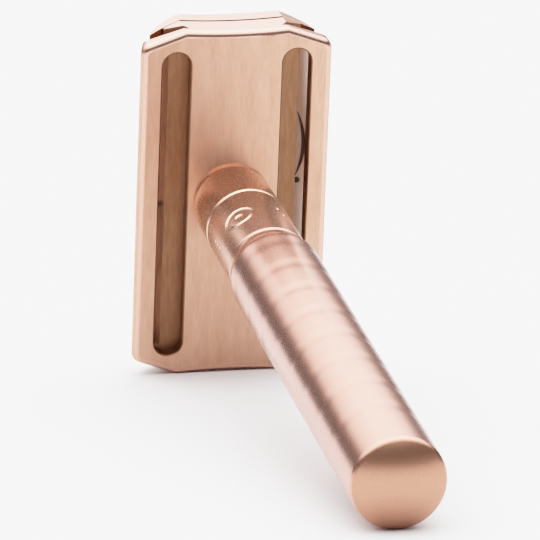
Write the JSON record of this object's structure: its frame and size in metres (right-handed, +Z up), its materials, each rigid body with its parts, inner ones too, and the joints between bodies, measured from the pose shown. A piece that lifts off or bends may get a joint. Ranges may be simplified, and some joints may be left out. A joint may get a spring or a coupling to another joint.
{
  "type": "safety razor",
  "caption": "Three-piece double-edge safety razor lying on a table: cap, blade and slotted base plate clamped by a ringed round handle that screws on.",
  "frame": {"origin": "middle of the footprint, on the table the razor lies on", "axes": "+Z up, +Y from the handle's tip to the head along the table, +X across the head"},
  "size_m": [0.0232, 0.0986, 0.0443],
  "materials": {
    "head_aluminium": "brushed along the head, rose-gold anodised",
    "handle_aluminium": "turned and bead-blasted satin, rose-gold anodised",
    "blade_steel": "rolled stainless strip with ground edges and a plain printed mark",
    "stud_steel": "machined stainless steel",
    "insert_brass": "machined brass"
  },
  "bodies": {
    "base_plate": {"base_plate": "head_aluminium"},
    "handle": {"handle": "handle_aluminium", "handle_insert": "insert_brass"},
    "cap": {"top_cap": "head_aluminium", "threaded_stud": "stud_steel", "locating_pins": "stud_steel"},
    "blade": {"razor_blade": "blade_steel"}
  },
  "joints": [
    {"name": "handle_turn", "type": "hinge", "parent": "base_plate", "child": "handle", "pos_m": [0, 0.03859, 0.02148], "axis": [0, -0.9827, -0.185], "range_deg": [0, 2340]},
    {"name": "cap_lift", "type": "slide", "parent": "base_plate", "child": "cap", "axis": [0, 0.9827, 0.185], "range_m": [0, 0.0052]},
    {"name": "blade_lift", "type": "slide", "parent": "base_plate", "child": "blade", "axis": [0, 0.9827, 0.185], "range_m": [0, 0.0026]}
  ],
  "couplings": [
    {"joint": "cap_lift", "follows": "handle_turn", "m_per_rad": 0.00012732},
    {"joint": "blade_lift", "follows": "handle_turn", "m_per_rad": 0.000063662}
  ]
}
